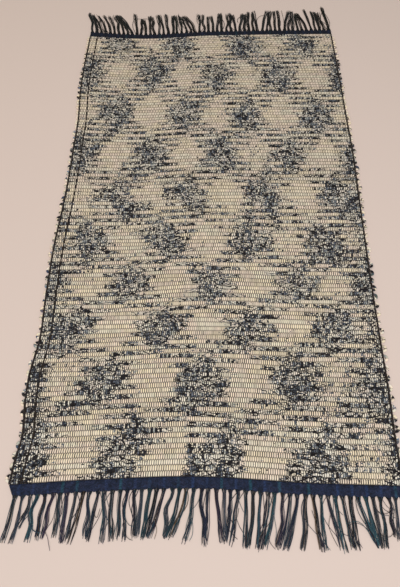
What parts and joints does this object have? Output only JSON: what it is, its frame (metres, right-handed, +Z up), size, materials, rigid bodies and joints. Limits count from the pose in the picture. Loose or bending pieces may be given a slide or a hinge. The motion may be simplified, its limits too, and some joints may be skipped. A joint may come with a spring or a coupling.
{
  "type": "rag rug",
  "caption": "Flat hand-woven rag rug: thick ribbed rag rows, a thin navy heading and a loose warp fringe at each end.",
  "frame": {"origin": "middle of the rug's outline, fringes included, on the floor that it lies on", "axes": "+X across the rug, +Y along it to the far end in the picture, +Z up"},
  "size_m": [0.7329, 1.4487, 0.0054],
  "materials": {
    "rag_weave": "matte torn-cotton rag weft, cream with dark blue print, over dark cotton warp",
    "navy_warp": "matte navy cotton warp with a few blue and teal threads"
  },
  "bodies": {
    "root": {"rug_field": "rag_weave", "near_heading_fringe": "navy_warp", "far_heading_fringe": "navy_warp"}
  },
  "joints": []
}
